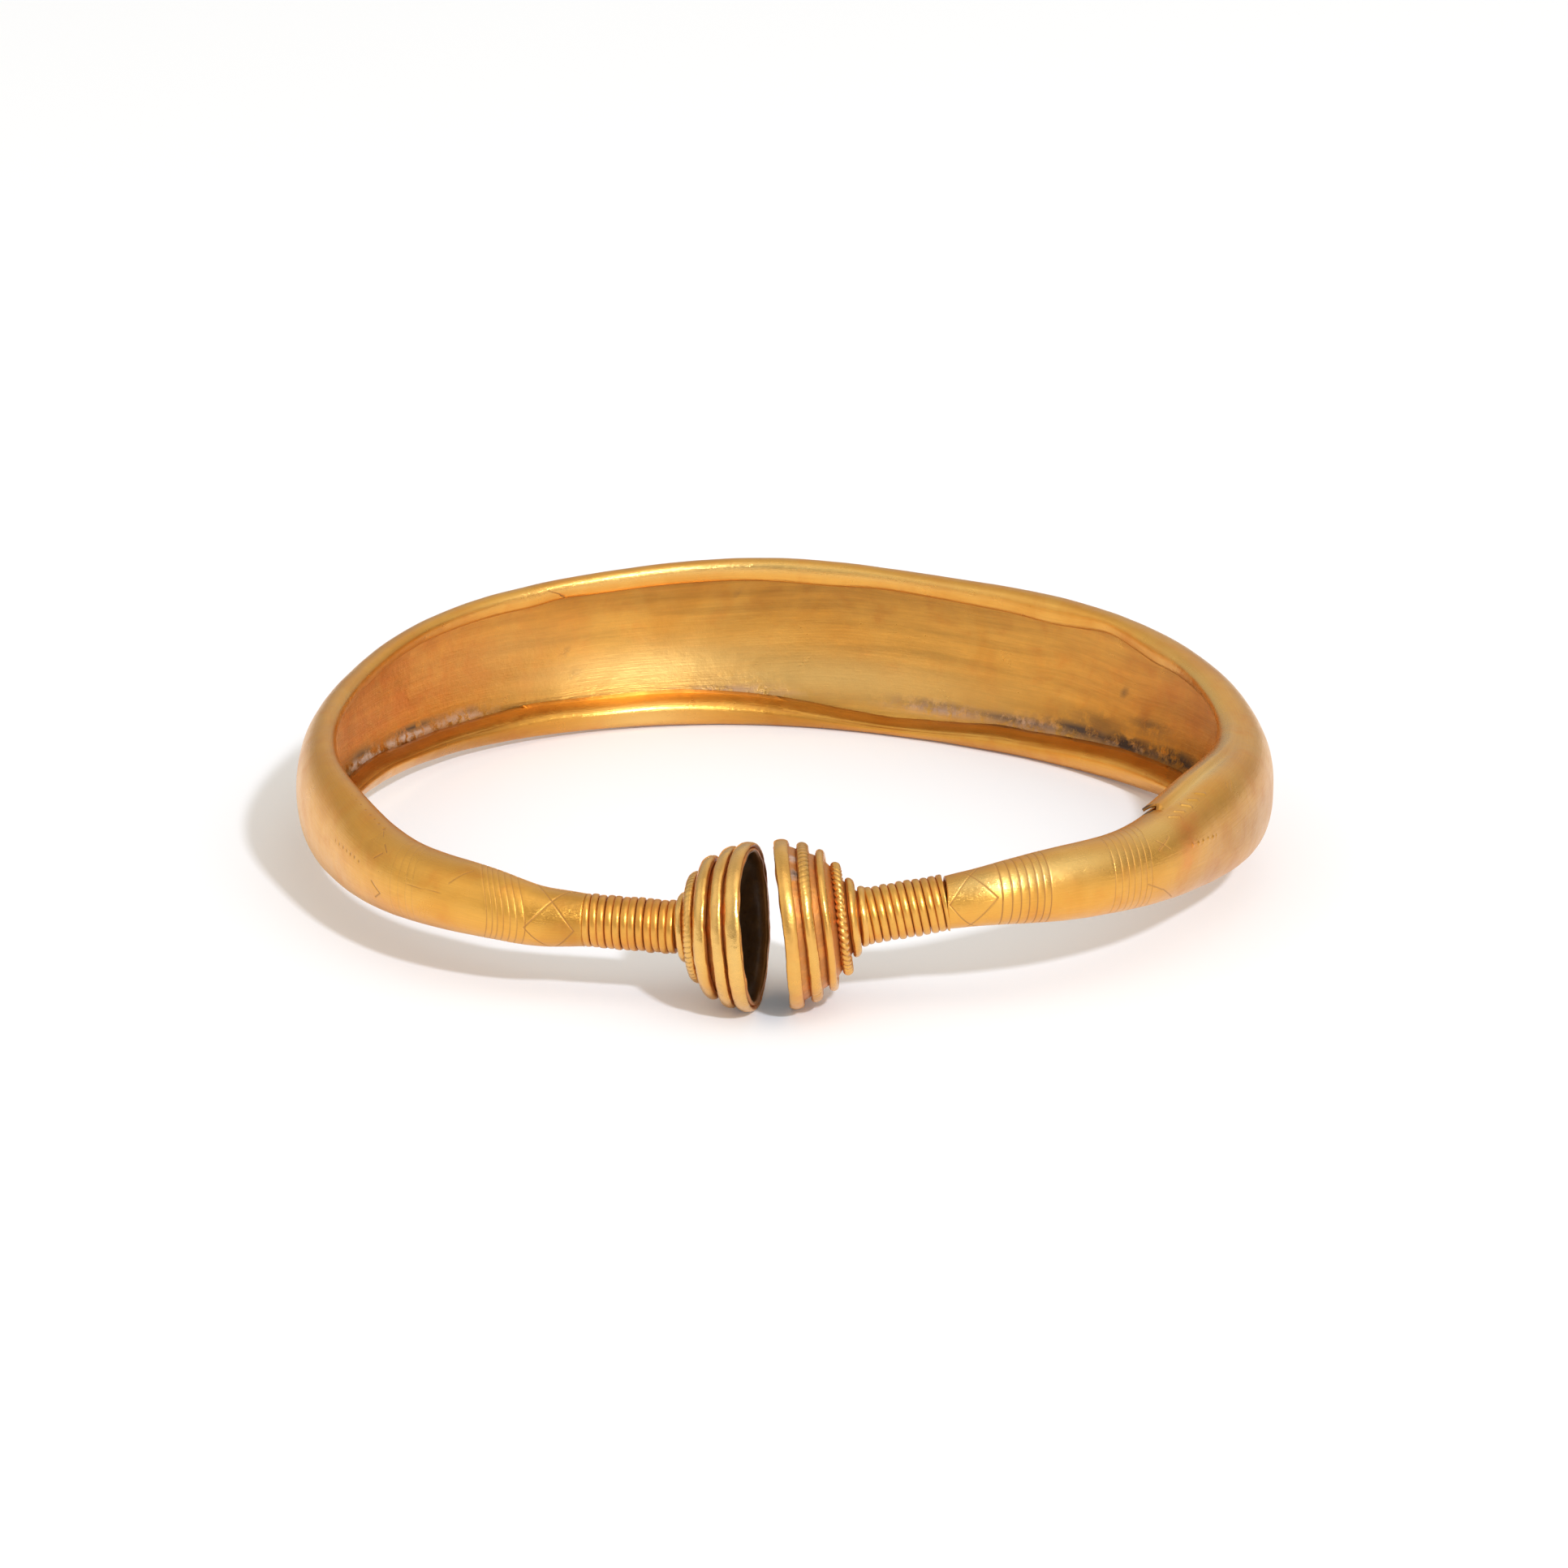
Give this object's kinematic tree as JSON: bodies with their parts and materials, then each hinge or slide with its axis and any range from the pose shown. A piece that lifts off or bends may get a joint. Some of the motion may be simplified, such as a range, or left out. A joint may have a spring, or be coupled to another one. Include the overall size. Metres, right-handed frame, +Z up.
{
  "type": "torc",
  "caption": "Open gold neck ring: a rolled sheet hoop, broad and open behind, with tubular arms, wire-bound necks and ringed bell cups facing each other.",
  "frame": {"origin": "middle of the ground the torc covers, on the surface it lies on", "axes": "+X across the hoop to the right, +Y from the opening between the cups to the back, +Z up"},
  "size_m": [0.1488, 0.1444, 0.0285],
  "materials": {
    "hoop_gold": "hand-burnished gold sheet",
    "cup_gold": "worn gold sheet",
    "ring_gold": "satin gold wire",
    "binding_gold": "satin gold wire"
  },
  "bodies": {
    "root": {"hoop": "hoop_gold", "left_cup": "cup_gold", "right_cup": "cup_gold", "left_rim_ring": "ring_gold", "left_flat_ring": "ring_gold", "left_thick_ring": "ring_gold", "left_rope_ring": "ring_gold", "left_step_ring": "ring_gold", "right_rim_ring": "ring_gold", "right_rope_ring": "ring_gold", "right_plain_ring": "ring_gold", "right_twist_ring": "ring_gold", "right_step_ring": "ring_gold", "right_collar_ring": "ring_gold", "left_binding": "binding_gold", "right_binding": "binding_gold"}
  },
  "joints": []
}
